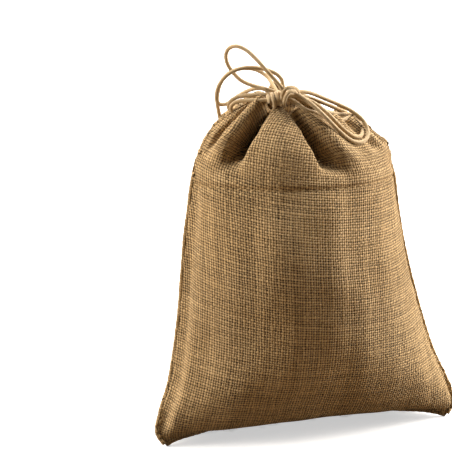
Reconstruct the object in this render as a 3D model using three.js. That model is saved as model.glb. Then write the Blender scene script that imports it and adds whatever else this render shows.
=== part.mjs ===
// Drawstring gift pouch in coarse woven cloth, drawn shut and tied with a double bow.
// Millimetres, +Z up, front towards -Y. The origin is on the resting surface, under the middle of the pouch.
import * as THREE from 'three';
import { mergeVertices } from 'three/addons/utils/BufferGeometryUtils.js';

// ---- driving dimensions ----
const CLOTH = 1.6;             // thickness of one layer of cloth
const GAP = 0.3;               // clearance between pieces that touch
const CORD = 2.4;              // cord diameter
const CORD_SIDES = 8;
const THREAD = 1.2;            // sewing thread of the bound edges
const HEM_THREAD = 0.9;        // sewing thread of the hem
const HALF_SEAM = 1.2;         // half the thickness of the two allowances of a seam
const ALLOWANCE = 8;           // width of the seam allowances inside
const EAR_FORWARD = -12;       // how far forward the two bottom corners stand
const CASING_HEIGHT = 22;      // tunnel that the cords run in, measured along the cloth
const CASING_THICKNESS = 5.6;
const CASING_WALL = 1.2;
const CASING_REACH = 0.755;    // share of the half width that a casing covers: the rest is the side exit
const RUN_START = 0.3;         // where a cord's free strand takes over from its run, as a share of the half width
const BOTTOM_SEAM_REACH = 0.76; // share of the half width that the bottom allowances cover
const LOW_CORD = 9;            // heights of the two cords above the casing's lower edge
const HIGH_CORD = 14;
const HEM_LINE = 0.735;        // height of the hem stitches, as a share of the panel
const KNOT_CENTRE = [-19, -12, 211];
const KNOT_RADIUS = 7;
const END_KNOT_RADIUS = 4.5;

// The pouch is spanned between its side edges and the middle lines of its front and back.
// Each line has a point at the same ten levels, from the bottom seam to the mouth.
const SIDE_EDGE = [            // half width, height
  [91, 0], [97, 9], [94, 22], [86, 42], [78, 74], [72, 106], [67, 138], [62, 166], [50, 187], [31, 203],
];
const FRONT_MIDDLE = [         // y, height
  [0, 7], [-20, 11], [-33, 27], [-42, 50], [-46, 80], [-46.6, 110], [-42, 141], [-34, 166], [-26, 186], [-15, 203],
];
const BACK_MIDDLE = [
  [0, 7], [16, -1.5], [34, -1.5], [44, 27], [46.6, 68], [46, 106], [42, 138], [34, 166], [26, 187], [15, 203],
];
const LEVELS = SIDE_EDGE.length - 1;
const CASING_START = (LEVELS - 1) / LEVELS;
const SIDE_SEAM_TOP = CASING_START - 0.03;

const FRONT = -1;
const BACK = 1;
const LEFT = -1;
const RIGHT = 1;

// ---- the cloth surface ----
const toCurve = (points) => new THREE.SplineCurve(points.map(([u, z]) => new THREE.Vector2(u, z)));
const sideEdge = toCurve(SIDE_EDGE);
const middle = { [FRONT]: toCurve(FRONT_MIDDLE), [BACK]: toCurve(BACK_MIDDLE) };
const smooth = THREE.MathUtils.smoothstep;

// The parting surface between front and back, where the seam allowances lie, runs forward at the two bottom corners.
const partingY = (outward, z) => EAR_FORWARD * (1 - smooth(z, 0, 60)) * outward ** 2;

// The filled pouch leans a little to its left, and its mouth is lower towards the right.
const MOUTH_TILT = 0.2;

function lean(point) {
  const { x, z } = point;
  point.x += -7.5 * smooth(z, 30, 140) + 2.5 * smooth(z, 180, 203);
  point.z -= MOUTH_TILT * (point.x + 17) * smooth(z, 150, 204);
  return point;
}

// across runs from -1 at the left edge to 1 at the right edge, up from 0 at the bottom seam to 1 at the mouth.
function surfacePoint(side, across, up) {
  const edge = sideEdge.getPoint(up);
  const centre = middle[side].getPoint(up);
  const outward = Math.sin(across * Math.PI / 2);
  const inward = Math.cos(across * Math.PI / 2);
  return lean(new THREE.Vector3(
    edge.x * outward,
    partingY(outward, edge.y) + centre.x * inward,
    edge.y + (centre.y - edge.y) * inward,
  ));
}

function clothPoint(side, across, up, depth) {
  const step = 1e-3;
  const point = surfacePoint(side, across, up);
  const alongAcross = surfacePoint(side, across + step, up).sub(surfacePoint(side, across - step, up));
  const upper = Math.min(up + step, 1);
  const lower = Math.max(up - step, 0);
  const alongUp = surfacePoint(side, across, upper).sub(surfacePoint(side, across, lower));
  const outward = alongAcross.cross(alongUp).normalize().multiplyScalar(-side);
  return point.addScaledVector(outward, -depth);
}

// A panel keeps clear of the allowances, and lies flat where it meets the resting surface.
function panelPoint(side, across, up, depth) {
  const point = clothPoint(side, across, up, depth);
  point.z = Math.max(point.z, depth);
  const clearance = HALF_SEAM + 2 * GAP + CLOTH - Math.min(depth, CLOTH);
  const limit = partingY(Math.sin(across * Math.PI / 2), point.z) + side * clearance;
  point.y = side === FRONT ? Math.min(point.y, limit) : Math.max(point.y, limit);
  return point;
}

// ---- geometry helpers ----
function closedBody(geometry) {
  geometry.deleteAttribute('normal');
  geometry.deleteAttribute('uv');
  const merged = mergeVertices(geometry, 1e-4);
  const position = merged.attributes.position;
  const index = merged.index.array;
  const corner = (n) => new THREE.Vector3().fromBufferAttribute(position, index[n]);
  let volume = 0;
  for (let n = 0; n < index.length; n += 3) {
    volume += corner(n).dot(corner(n + 1).cross(corner(n + 2)));
  }
  if (volume < 0) {
    for (let n = 0; n < index.length; n += 3) {
      [index[n], index[n + 1]] = [index[n + 1], index[n]];
    }
  }
  merged.computeVertexNormals();
  return merged;
}

// Moves each vertex of a plain geometry to where the given function puts it.
function bend(geometry, place) {
  const position = geometry.attributes.position;
  for (let n = 0; n < position.count; n += 1) {
    const point = place(position.getX(n), position.getY(n), position.getZ(n));
    position.setXYZ(n, point.x, point.y, point.z);
  }
  return geometry;
}

const unitBox = (columns, rows) => new THREE.BoxGeometry(1, 1, 1, columns, 1, rows).translate(0.5, 0.5, 0.5);

// A layer of cloth between two widths, two heights and two depths of the surface.
function layer({ side, across, up, depth, columns, rows }) {
  const between = THREE.MathUtils.lerp;
  return bend(unitBox(columns, rows), (x, y, z) => panelPoint(
    side, between(...across, x), between(...up, z), between(...depth, y),
  ));
}

function tube(points, diameter, steps) {
  const path = new THREE.CatmullRomCurve3(points, false, 'centripetal');
  const section = new THREE.Shape();
  for (let n = 0; n < CORD_SIDES; n += 1) {
    const angle = n * 2 * Math.PI / CORD_SIDES;
    const corner = [diameter / 2 * Math.cos(angle), diameter / 2 * Math.sin(angle)];
    if (n === 0) section.moveTo(...corner);
    else section.lineTo(...corner);
  }
  section.closePath();
  return new THREE.ExtrudeGeometry(section, { steps, extrudePath: path, bevelEnabled: false });
}

const asVectors = (rows) => rows.map((row) => new THREE.Vector3(...row));

// ---- materials ----
const jute = new THREE.MeshStandardMaterial({ color: 0xa98a5f, roughness: 0.95, metalness: 0 });
const cotton = new THREE.MeshStandardMaterial({ color: 0xe6d3a8, roughness: 0.85, metalness: 0 });
const sewingThread = new THREE.MeshStandardMaterial({ color: 0xb59a6c, roughness: 0.8, metalness: 0 });

const pouch = new THREE.Group();

function add(name, geometry, material) {
  const mesh = new THREE.Mesh(closedBody(geometry), material);
  mesh.name = name;
  pouch.add(mesh);
}

// ---- cloth pieces ----
function addPanel(name, side) {
  const up = [0, CASING_START - 0.002];
  add(name, layer({ side, across: [-1, 1], up, depth: [0, CLOTH], columns: 20, rows: 16 }), jute);
}

// The hem is turned in and lies against the inside of the panel, down to its line of stitches.
function addHemFacing(name, side) {
  const depth = [CLOTH + 2 * GAP, 2 * CLOTH + 2 * GAP];
  const up = [HEM_LINE - 0.01, CASING_START - 0.002];
  add(name, layer({ side, across: [-0.8, 0.8], up, depth, columns: 16, rows: 3 }), jute);
}

// The top of the hem is a tunnel with a rounded fold at the mouth and an open end at each side seam.
function addCasing(name, side) {
  const half = CASING_THICKNESS / 2;
  const outline = new THREE.Shape();
  outline.moveTo(0, 0);
  outline.lineTo(CASING_THICKNESS, 0);
  outline.lineTo(CASING_THICKNESS, CASING_HEIGHT - half);
  outline.absarc(half, CASING_HEIGHT - half, half, 0, Math.PI, false);
  outline.lineTo(0, 0);
  const tunnel = new THREE.Path();
  const [low, high] = [CASING_WALL, CASING_THICKNESS - CASING_WALL];
  const [bottom, top] = [3, CASING_HEIGHT - 4];
  tunnel.moveTo(low, bottom);
  tunnel.lineTo(low, top);
  tunnel.lineTo(high, top);
  tunnel.lineTo(high, bottom);
  tunnel.lineTo(low, bottom);
  outline.holes.push(tunnel);
  const bar = new THREE.ExtrudeGeometry(outline, { depth: 1, steps: 18, curveSegments: 4, bevelEnabled: false });
  add(name, bend(bar, (depth, height, along) => {
    const across = CASING_REACH * (2 * along - 1);
    return clothPoint(side, across, CASING_START + height / CASING_HEIGHT / LEVELS, depth);
  }), jute);
}

// A point of a side seam: inward from the side edge, and off the parting surface.
function seamPoint(hand, up, inward, off) {
  const edge = surfacePoint(FRONT, hand, up);
  const halfWidth = sideEdge.getPoint(up).x;
  const y = partingY(1 - Math.max(inward, 0) / halfWidth, edge.z) + off;
  return new THREE.Vector3(edge.x - hand * inward, y, edge.z);
}

// The allowances of front and back lie together inside the side edge.
function addSideSeam(name, hand) {
  const [low, high] = [0.1, SIDE_SEAM_TOP];
  add(name, bend(unitBox(1, 14), (x, y, z) => {
    const up = low + (high - low) * z;
    return seamPoint(hand, up, -0.4 + (ALLOWANCE + 0.4) * x, HALF_SEAM * (2 * y - 1));
  }), jute);
}

// A point of the bottom seam: above the seam line, and off the parting surface.
function bottomSeamPoint(across, above, off) {
  const foot = surfacePoint(FRONT, across, 0);
  const z = Math.max(foot.z - 0.4, 0) + above;
  return new THREE.Vector3(foot.x, partingY(Math.sin(across * Math.PI / 2), z) + off, z);
}

function addBottomSeam(name) {
  add(name, bend(unitBox(20, 1), (x, y, z) => {
    return bottomSeamPoint(BOTTOM_SEAM_REACH * (2 * x - 1), ALLOWANCE * z, HALF_SEAM * (2 * y - 1));
  }), jute);
}

// A thread binds the raw edge of each allowance.
const besideEdge = ALLOWANCE + 3 * GAP + THREAD / 2;

function addSideThread(name, hand) {
  const points = [];
  for (let n = 0; n <= 10; n += 1) {
    points.push(seamPoint(hand, 0.17 + (SIDE_SEAM_TOP - 0.2) * n / 10, besideEdge, 0));
  }
  add(name, tube(points, THREAD, 18), sewingThread);
}

function addBottomThread(name) {
  const points = [];
  for (let n = 0; n <= 10; n += 1) {
    points.push(bottomSeamPoint(0.95 * BOTTOM_SEAM_REACH * (2 * n / 10 - 1), besideEdge, 0));
  }
  add(name, tube(points, THREAD, 18), sewingThread);
}

// The thread of the hem's stitch line lies on the face of the cloth.
function addHemThread(name, side) {
  const points = [];
  for (let n = 0; n <= 16; n += 1) {
    points.push(panelPoint(side, 0.84 * (2 * n / 16 - 1), HEM_LINE, -GAP - 0.15 - HEM_THREAD / 2));
  }
  add(name, tube(points, HEM_THREAD, 32), sewingThread);
}

addPanel('front_panel', FRONT);
addPanel('back_panel', BACK);
addHemFacing('front_hem_facing', FRONT);
addHemFacing('back_hem_facing', BACK);
addCasing('front_casing', FRONT);
addCasing('back_casing', BACK);
addSideSeam('left_side_seam', LEFT);
addSideSeam('right_side_seam', RIGHT);
addBottomSeam('bottom_seam');
addSideThread('left_seam_thread', LEFT);
addSideThread('right_seam_thread', RIGHT);
addBottomThread('bottom_seam_thread');
addHemThread('front_hem_thread', FRONT);
addHemThread('back_hem_thread', BACK);

// ---- the two drawstrings ----
// A place in the middle of the casing's tunnel, at a height above its lower edge.
function tunnelPoint(side, across, height) {
  return clothPoint(side, across, CASING_START + height / CASING_HEIGHT / LEVELS, CASING_THICKNESS / 2);
}

// Each drawstring goes once round the mouth, past the opposite side exit and back to its own.
function addRun(name, hand, height) {
  const points = [];
  const reach = (1 + RUN_START) / 2;
  const spans = 24;
  for (let n = 0; n <= spans; n += 1) {
    points.push(tunnelPoint(FRONT, -hand * (reach * 2 * n / spans - RUN_START), height));
  }
  for (let n = 1; n <= spans; n += 1) {
    points.push(tunnelPoint(BACK, -hand * (1 - reach * 2 * n / spans), height));
  }
  add(name, tube(points, CORD, 44), cotton);
}

// A strand comes along the tunnel to its side exit, and then up to the knot by its own points.
function addStrand(name, side, hand, height, freePoints) {
  const points = [];
  const start = RUN_START + 0.012;
  const end = CASING_REACH + 0.02;
  for (let n = 0; n <= 4; n += 1) {
    points.push(tunnelPoint(side, hand * (start + (end - start) * n / 4), height));
  }
  add(name, tube([...points, ...asVectors(freePoints)], CORD, 24), cotton);
}

addRun('left_drawstring_run', LEFT, LOW_CORD);
addRun('right_drawstring_run', RIGHT, HIGH_CORD);

const STRAND_ROUTES = {
  left_strand_front: [[-47.2, -2.4, 200.4], [-47.2, -3, 203.8], [-44, -5.5, 207.5], [-37, -10, 208.6], [-27.6, -13, 209.2]],
  left_strand_back: [
    [-47.8, 1.9, 200.2], [-48.8, 0.5, 203.7], [-46.5, -1.8, 208], [-40, -6, 211], [-33, -9.3, 211.8], [-27.7, -10.6, 212],
  ],
  right_strand_front: [
    [29, -2.2, 188.6], [26.35, -4.3, 193.4], [23, -9, 197.1], [17.6, -13.7, 196.7], [11.5, -17, 195.4],
    [5, -18.8, 196.8], [-2.5, -19.2, 200.4], [-7, -17.8, 203.8], [-11.6, -15.2, 207],
  ],
  right_strand_back: [
    [28.6, 1.9, 188.6], [24.3, -2, 193], [18.6, -7.2, 198.2], [13, -12, 200.2], [5, -15.2, 202], [-3, -15.6, 205], [-11, -12.9, 208],
  ],
};
addStrand('left_strand_front', FRONT, LEFT, LOW_CORD, STRAND_ROUTES.left_strand_front);
addStrand('left_strand_back', BACK, LEFT, LOW_CORD, STRAND_ROUTES.left_strand_back);
addStrand('right_strand_front', FRONT, RIGHT, HIGH_CORD, STRAND_ROUTES.right_strand_front);
addStrand('right_strand_back', BACK, RIGHT, HIGH_CORD, STRAND_ROUTES.right_strand_back);

// ---- the bow ----
function addKnot(name, centre, radius) {
  add(name, new THREE.SphereGeometry(radius, 14, 10).translate(...centre), cotton);
}

const LOOP_ROUTES = {
  left_loop_upper: [
    [-22.4, -19, 217], [-25.8, -18, 221.1], [-31.1, -16.5, 227.2], [-36.4, -14, 233.4], [-41.5, -11, 238.4],
    [-46.7, -8, 240.5], [-49.9, -4.5, 238.8], [-51, -2, 234.7], [-49.8, -1, 229.6], [-46.4, -1, 224.2],
    [-41.7, -2.5, 219.5], [-35.8, -5.5, 216.8], [-29.3, -9, 215.2],
  ],
  left_loop_lower: [
    [-19.8, -11.3, 220.5], [-22.6, -11, 223.5], [-27.4, -10.5, 225.9], [-34.5, -10, 227.7],
    [-41.6, -9.2, 227.9], [-48.2, -8, 226.1], [-52.8, -6.5, 222.6], [-55.8, -4, 217.4], [-56.4, -1, 211.7],
    [-55.3, 2, 207.6], [-52.3, 5.8, 204.6], [-47, 8.6, 204.4], [-40.8, 9, 208.3], [-34.6, 4.2, 212.6],
    [-29.4, -1, 214.2], [-26.7, -5.7, 213.3],
  ],
  right_loop_upper: [
    [-10.1, -9.6, 212.9], [-1.9, -7.5, 211.5], [8.8, -5, 207.1], [18.9, -4, 202.6], [27.2, -5, 198.2],
    [32.8, -7.5, 193.2], [34.6, -11.2, 187.8], [32.6, -15.4, 184], [28.2, -19, 182.4], [22.2, -21.8, 183.3],
    [15.9, -23.4, 187], [9.7, -24, 192.6], [3.4, -23.8, 199], [-4.4, -21.8, 206.6], [-11.2, -17.4, 211.9],
  ],
  right_loop_lower: [
    [-10.4, -9, 209.4], [-1.3, -5, 207.9], [9.8, -1.5, 203.7], [19.8, -0.2, 199.2], [27.4, -1.4, 195.3],
    [31.5, -5.6, 190.6], [31.2, -11.2, 186.8], [27.8, -16.2, 185.3], [22.8, -19.2, 186.1],
    [17.6, -20.5, 189.3], [12.2, -20.7, 194.2], [5.8, -20.7, 200.6], [-2.4, -19, 207.1], [-9.9, -13.8, 210.2],
  ],
};
for (const [name, route] of Object.entries(LOOP_ROUTES)) {
  add(name, tube(asVectors(route), CORD, 30), cotton);
}
addKnot('bow_knot', KNOT_CENTRE, KNOT_RADIUS);

// ---- the tails ----
const TAIL_ROUTES = {
  left_tail_outer: [
    [-20.5, -3.6, 212.5], [-21, 2, 215.5], [-22.5, 8.5, 219.5], [-28, 12, 223.2], [-35.2, 12.3, 224.4],
    [-42.2, 12.5, 223.3], [-47.3, 12.8, 219.8], [-50.4, 13.6, 214.6], [-51.5, 15.5, 205.9],
    [-49.8, 19.5, 200.1], [-47.6, 24, 194.4], [-45.1, 28.5, 187.3], [-47.3, 33.5, 178], [-48.8, 36.5, 166],
    [-50.5, 38.8, 154], [-51.8, 40, 143],
  ],
  left_tail_inner: [
    [-23, -4.8, 209.5], [-25.5, 2, 209.5], [-27.5, 9, 210], [-30, 16, 207], [-33.5, 22, 201.5],
    [-37.5, 27, 194], [-41, 31.5, 184.5], [-43.8, 35.5, 174.5], [-46, 39, 163], [-47.6, 41.5, 152],
    [-48.6, 42.5, 142],
  ],
  right_tail_outer: [
    [-14.5, -4.9, 212], [-9, 2, 211], [-2.5, 9.5, 209.3], [5, 16.5, 205], [12, 23, 197.5], [17.5, 28.5, 188],
    [21.5, 33.5, 177], [24, 38.5, 165], [25.5, 42.8, 153], [26.2, 46.3, 141], [26.5, 48.6, 130],
  ],
  right_tail_inner: [
    [-18.5, -3.5, 210.5], [-15.5, 3.5, 209], [-10, 11.5, 207.8], [-3, 18.8, 203.8], [4, 25.5, 196.5], [10, 31, 187],
    [15, 36, 176], [19, 40.8, 164], [21.7, 45, 152], [23, 48.2, 141], [23.3, 50.2, 130],
  ],
};
for (const [name, route] of Object.entries(TAIL_ROUTES)) {
  add(name, tube(asVectors(route), CORD, 30), cotton);
}
addKnot('left_end_knot', [-50.6, 41.3, 136], END_KNOT_RADIUS);
addKnot('right_end_knot', [25, 50, 124], END_KNOT_RADIUS);

export default pouch;
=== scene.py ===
"""Drawstring gift pouch in coarse jute, drawn shut and tied with a double bow of cotton cord."""

import math
import random

import bpy
import numpy as np
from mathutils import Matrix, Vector


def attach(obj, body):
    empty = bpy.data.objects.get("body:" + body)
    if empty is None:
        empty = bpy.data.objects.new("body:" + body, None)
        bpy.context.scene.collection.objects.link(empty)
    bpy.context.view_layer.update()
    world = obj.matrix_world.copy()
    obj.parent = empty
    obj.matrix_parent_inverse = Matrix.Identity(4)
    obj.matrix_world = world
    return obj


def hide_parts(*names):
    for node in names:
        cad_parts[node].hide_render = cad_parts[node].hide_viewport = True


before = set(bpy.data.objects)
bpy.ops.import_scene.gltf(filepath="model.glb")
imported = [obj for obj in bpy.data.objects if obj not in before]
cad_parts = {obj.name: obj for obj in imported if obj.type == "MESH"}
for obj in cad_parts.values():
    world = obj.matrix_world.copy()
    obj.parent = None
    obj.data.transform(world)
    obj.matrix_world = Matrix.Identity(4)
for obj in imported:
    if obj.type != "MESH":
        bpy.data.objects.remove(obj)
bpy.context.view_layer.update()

MM = 0.001
FRONT, BACK = -1, 1
LEFT, RIGHT = -1, 1

# ---------------------------------------------------------------- sizes of the pouch, in millimetres
CLOTH = 1.1                    # thickness of one layer of jute
PANEL_HEIGHT = 234             # flat height of a panel from the bottom seam to the fold at the mouth
HEM_DEPTH = 48                 # how far the hem is turned in
HEM_LEVEL = 0.745              # the hem's stitch line, as a share of the panel's height
FOLD_FOOT = 0.775              # where the folds begin below the mouth
SEAM_TOP = 0.872               # where the side seams stop and the two side exits begin
CORD = 2.4                     # diameter of the drawstrings
EAR_FORWARD = -12              # how far forward the two bottom corners stand
MOUTH_TILT = 0.2               # the mouth falls this much towards the right
LOW_CORD, HIGH_CORD = 0.945, 0.97   # levels at which the two drawstrings run round the mouth
RUN_START, RUN_TURN = 0.32, -0.97   # where a run begins, and where it turns to the other panel
CORD_STEP = 0.45               # distance between the places along a drawstring
FOLD_TOP = 0.885               # where the folds have their full depth
HEM_STEP = 0.006               # a little above and below the stitch line, as a share of the height

# The pouch is spanned between its side edges and the middle lines of its front and back,
# at the same ten levels from the bottom seam to the mouth.
SIDE_EDGE = [                  # half width, height
    (91, 0), (97, 9), (94, 22), (86, 42), (78, 74), (72, 106), (67, 138), (62, 166), (50, 187), (31, 203),
]
MIDDLE = {                     # y, height
    FRONT: [(0, 7), (-20, 11), (-33, 27), (-42, 50), (-46, 80),
            (-46.6, 110), (-42, 141), (-34, 166), (-26, 186), (-15, 203)],
    BACK: [(0, 7), (16, -1.5), (34, -1.5), (44, 27), (46.6, 68),
           (46, 106), (42, 138), (34, 166), (26, 187), (15, 203)],
}


# ---------------------------------------------------------------- camera
def add_camera():
    """A long lens, a little to the left of the pouch and above it."""
    camera = bpy.data.objects.new("studio_camera", bpy.data.cameras.new("studio_camera"))
    bpy.context.scene.collection.objects.link(camera)
    place = Vector((-0.29233, -0.84377, 0.35066))
    target = Vector((-0.03825, 0.04231, 0.12083))
    camera.location = place
    camera.rotation_euler = (target - place).to_track_quat("-Z", "Y").to_euler()
    camera.data.lens = 120.3
    camera.data.clip_start = 0.05
    bpy.context.scene.camera = camera


# ---------------------------------------------------------------- shape of the cloth
def smooth(x, start, end):
    t = np.clip((np.asarray(x, float) - start) / (end - start), 0, 1)
    return t * t * (3 - 2 * t)


def bump(x, centre, reach):
    """1 at the centre, falling smoothly to 0 at reach on either side."""
    return 1 - smooth(np.abs(np.asarray(x, float) - centre), 0, reach)


def along(points, share):
    """A smooth line through evenly spaced points, at shares of its length from 0 to 1."""
    points = np.array(points, float)
    last = len(points) - 1
    place = np.clip(np.asarray(share, float), 0, 1) * last
    n = np.minimum(place.astype(int), last - 1)
    t = (place - n)[..., None]
    start, end = points[n], points[n + 1]
    before = np.where((n == 0)[..., None], start, points[np.maximum(n - 1, 0)])
    after = np.where((n + 2 > last)[..., None], end, points[np.minimum(n + 2, last)])
    leave, arrive = (end - before) / 2, (after - start) / 2
    return ((2 * start - 2 * end + leave + arrive) * t ** 3
            + (3 * end - 3 * start - 2 * leave - arrive) * t ** 2 + leave * t + start)


def body_shape(side, across, up):
    """The filled pouch without its folds. across runs from -1 at the left seam to 1 at the right one."""
    across, up = np.broadcast_arrays(np.asarray(across, float), np.asarray(up, float))
    edge, middle = along(SIDE_EDGE, up), along(MIDDLE[side], up)
    outward, inward = np.sin(across * math.pi / 2), np.cos(across * math.pi / 2)
    flare = 1 + 0.35 * (1 - smooth(up, 0.8, 1))       # front and back meet in a lip along the side seams
    parting = EAR_FORWARD * (1 - smooth(edge[..., 1], 0, 60)) * outward ** 2
    x = edge[..., 0] * outward
    y = parting + middle[..., 0] * np.abs(inward) ** flare
    z = edge[..., 1] + (middle[..., 1] - edge[..., 1]) * inward
    x = x - 7.5 * smooth(z, 30, 140) + 2.5 * smooth(z, 180, 203)
    x = x + 8.0 * bump(z, 190, 25) * np.maximum(0, outward) ** 2
    z = z - MOUTH_TILT * (x + 17) * smooth(z, 150, 204)
    return np.stack([x, y, z], -1)


def outward_normals(points, side):
    """Unit normals of a grid of points, away from the inside of the pouch."""
    normals = np.cross(np.gradient(points, axis=1), np.gradient(points, axis=0)) * -side
    return normals / np.maximum(np.linalg.norm(normals, axis=-1, keepdims=True), 1e-9)


def fold_line(up, stations):
    """Where a fold runs: across at the given levels, joined smoothly."""
    levels = [level for level, _ in stations]
    places = [place for _, place in stations]
    return np.interp(up, levels, places)


def tuck(distance, reach):
    """The cloth tucked under a pleat: it drops at once at the edge and rises again over its reach."""
    share = distance / reach
    return smooth(share, -0.10, 0.24) * (1 - smooth(share, 0.46, 1.05))


# Each side has one broad box pleat in front of two tucks, and grooves beside the seams.
# Lines are (level, across) stations; a groove is (stations, depth in mm, reach, lowest level).
PLEATS = {
    FRONT: dict(
        left=[(0.72, -0.50), (0.80, -0.46), (0.85, -0.43), (0.90, -0.40), (1.0, -0.42)],
        right=[(0.72, 0.10), (0.80, 0.06), (0.86, 0.0), (0.92, -0.09), (0.96, -0.20), (1.0, -0.32)],
        left_reach=0.18, right_reach=0.20,
        grooves=[([(0.80, -0.79), (0.92, -0.74), (1.0, -0.83)], 3.6, 0.07, 0.80),
                 ([(0.80, 0.66), (1.0, 0.52)], 3.0, 0.12, 0.84),
                 ([(0.84, 0.86), (1.0, 0.80)], 2.0, 0.08, 0.86)],
    ),
    BACK: dict(
        left=[(0.72, -0.10), (0.85, -0.05), (1.0, 0.08)],
        right=[(0.72, 0.42), (0.85, 0.40), (1.0, 0.34)],
        left_reach=0.22, right_reach=0.22,
        grooves=[([(0.80, -0.62), (1.0, -0.52)], 4.2, 0.10, 0.82),
                 ([(0.82, -0.84), (1.0, -0.78)], 2.4, 0.08, 0.84),
                 ([(0.80, 0.78), (1.0, 0.72)], 3.4, 0.09, 0.82)],
    ),
}


def fold_depths(side, across, up):
    """How far the folds stand in from the body (positive) or out from it, and how tucked each place is."""
    pleat = PLEATS[side]
    left, right = fold_line(up, pleat["left"]), fold_line(up, pleat["right"])
    strength = smooth(up, FOLD_FOOT, FOLD_TOP)
    depth = strength * (20.0 - 11.0 * smooth(up, 0.9, 1.0))
    tucked = np.maximum(tuck(left - across, pleat["left_reach"]),
                        tuck(across - right, pleat["right_reach"]))
    crown = np.sin(np.clip((across - left) / (right - left), 0, 1) * math.pi) ** 0.7
    inward = depth * tucked - crown * 3.4 * smooth(up, 0.70, 0.86) * (1 - 0.5 * smooth(up, 0.93, 1))
    ridges = (bump(across, left - 1.3 * pleat["left_reach"], 0.15)
              + bump(across, right + 1.3 * pleat["right_reach"], 0.17))
    inward = inward - 4.2 * ridges * smooth(up, 0.76, 0.88)
    for stations, groove, reach, foot in pleat["grooves"]:
        furrow = groove * bump(across, fold_line(up, stations), reach)
        inward = inward + furrow * smooth(up, foot, foot + 0.07)
    return inward, strength * tucked


def slack(side, across, up):
    """Broad soft unevenness of the cloth over the filling, in mm inward."""
    ease = np.sin(up * math.pi) ** 0.5 * np.cos(across * math.pi / 2) ** 0.5
    phase = 0.0 if side == FRONT else 2.1
    waves = (0.9 * np.sin(7.3 * across + 5.1 * up + phase) * np.sin(8.2 * up - 2.3 * across + 1.3 * phase)
             + 0.55 * np.sin(13.1 * across - 9.7 * up + 0.7 + phase) * np.sin(15.4 * up + 6.2 * across)
             + 0.3 * np.sin(24.0 * across + 17.0 * up + phase) * np.sin(27.0 * up - 11.0 * across + 0.4))
    beside_seam = 2.6 * (bump(across, -0.84, 0.13) + 0.7 * bump(across, 0.88, 0.10))
    beside_seam = beside_seam * smooth(up, 0.06, 0.2) * (1 - smooth(up, 0.66, 0.8))
    puckers = 0.45 * np.sin(up * 118 + side) * bump(np.abs(across), 1.0, 0.12) * (1 - smooth(up, 0.84, 0.9))
    hem = 1.0 * bump(up, HEM_LEVEL, 0.009) - 0.75 * smooth(up, HEM_LEVEL, HEM_LEVEL + 0.012)
    return ease * waves + beside_seam + puckers + hem


def cloth_grid(side, across, up):
    """Points of the outer face of a panel over a grid of levels (rows) and places across (columns)."""
    across, up = np.meshgrid(across, up)
    points = body_shape(side, across, up)
    normals = outward_normals(points, side)
    inward, tucked = fold_depths(side, across, up)
    points = points - normals * (inward + slack(side, across, up))[..., None]
    pleat = PLEATS[side]
    left, right = fold_line(up, pleat["left"]), fold_line(up, pleat["right"])
    spread = 2.1 * smooth(up, 0.78, 0.88) * (1 - 0.45 * smooth(up, 0.92, 1))
    points[..., 0] += spread * (bump(across, right - 0.01, 0.075) - bump(across, left + 0.01, 0.075))
    rim = smooth(up, 0.93, 1)
    ripple = 0.9 * np.sin(across * 21 + side)
    points[..., 2] += rim * (ripple - 1.6 * tucked + 3.2 * bump(across, -0.60, 0.28))
    if side == BACK:
        points[..., 2] += 11.0 * rim * bump(across, -0.05, 0.6)
    # front and back stand apart at the side exits and are sewn together below them
    apart = 0.55 * CLOTH + 1.9 * smooth(up, SEAM_TOP, SEAM_TOP + 0.04)
    parting = EAR_FORWARD * (1 - smooth(points[..., 2], 0, 60)) * np.sin(across * math.pi / 2) ** 2
    limit = parting + side * apart
    keep_apart = np.minimum if side == FRONT else np.maximum
    points[..., 1] = keep_apart(points[..., 1], limit)
    points[..., 2] = np.maximum(points[..., 2], 0.15)
    return points, tucked


def flat_coordinates(side, points, tucked, across, up):
    """Where each point was on the flat cloth, in mm. Below the folds the threads keep their spacing; above
    their foot the cloth is as wide as it is there, and the spare cloth is in the tucks."""
    steps = np.linalg.norm(np.diff(points, axis=1), axis=2)
    weight = np.maximum(tucked[:, 1:], tucked[:, :-1]) ** 2 + 0.0008
    pleat = PLEATS[side]
    middles = (fold_line(up, pleat["left"]) + fold_line(up, pleat["right"])) / 2
    anchor = [np.argmin(np.abs(across - middle)) for middle in middles]
    foot = np.argmin(np.abs(up - FOLD_FOOT))
    u = np.zeros(points.shape[:2])
    for row, column in enumerate(anchor):
        if row > foot:
            for part in (slice(0, column), slice(column, None)):
                spare = steps[foot, part].sum() - steps[row, part].sum()
                share = weight[row, part] / weight[row, part].sum()
                steps[row, part] += np.maximum(spare * share, -0.8 * steps[row, part])
        u[row, 1:] = np.cumsum(steps[row])
        u[row] -= u[row, column]
    drift = np.interp(across[anchor], across, u[foot])
    u += (drift * smooth(up, FOLD_FOOT - 0.3, FOLD_FOOT))[:, None]
    rise = np.linalg.norm(np.diff(body_shape(side, *np.meshgrid(across, up)), axis=0), axis=2)
    v = np.vstack([np.zeros(len(across)), np.cumsum(rise, axis=0)])
    return u, v - v[-1] + PANEL_HEIGHT


# ---------------------------------------------------------------- making meshes
def add_mesh(name, points, faces, material, uvs=None, smooth_faces=True):
    """A mesh from points in mm. uvs has one (u, v) in mm for each point."""
    mesh = bpy.data.meshes.new(name)
    mesh.from_pydata((np.asarray(points, float) * MM).tolist(), [], faces)
    if uvs is not None:
        layer = mesh.uv_layers.new(name="thread")
        corner = np.zeros(len(mesh.loops), int)
        mesh.loops.foreach_get("vertex_index", corner)
        layer.data.foreach_set("uv", (np.asarray(uvs, float) * MM)[corner].ravel())
    mesh.polygons.foreach_set("use_smooth", [smooth_faces] * len(mesh.polygons))
    mesh.materials.append(material)
    piece = bpy.data.objects.new(name, mesh)
    bpy.context.scene.collection.objects.link(piece)
    return piece


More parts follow.
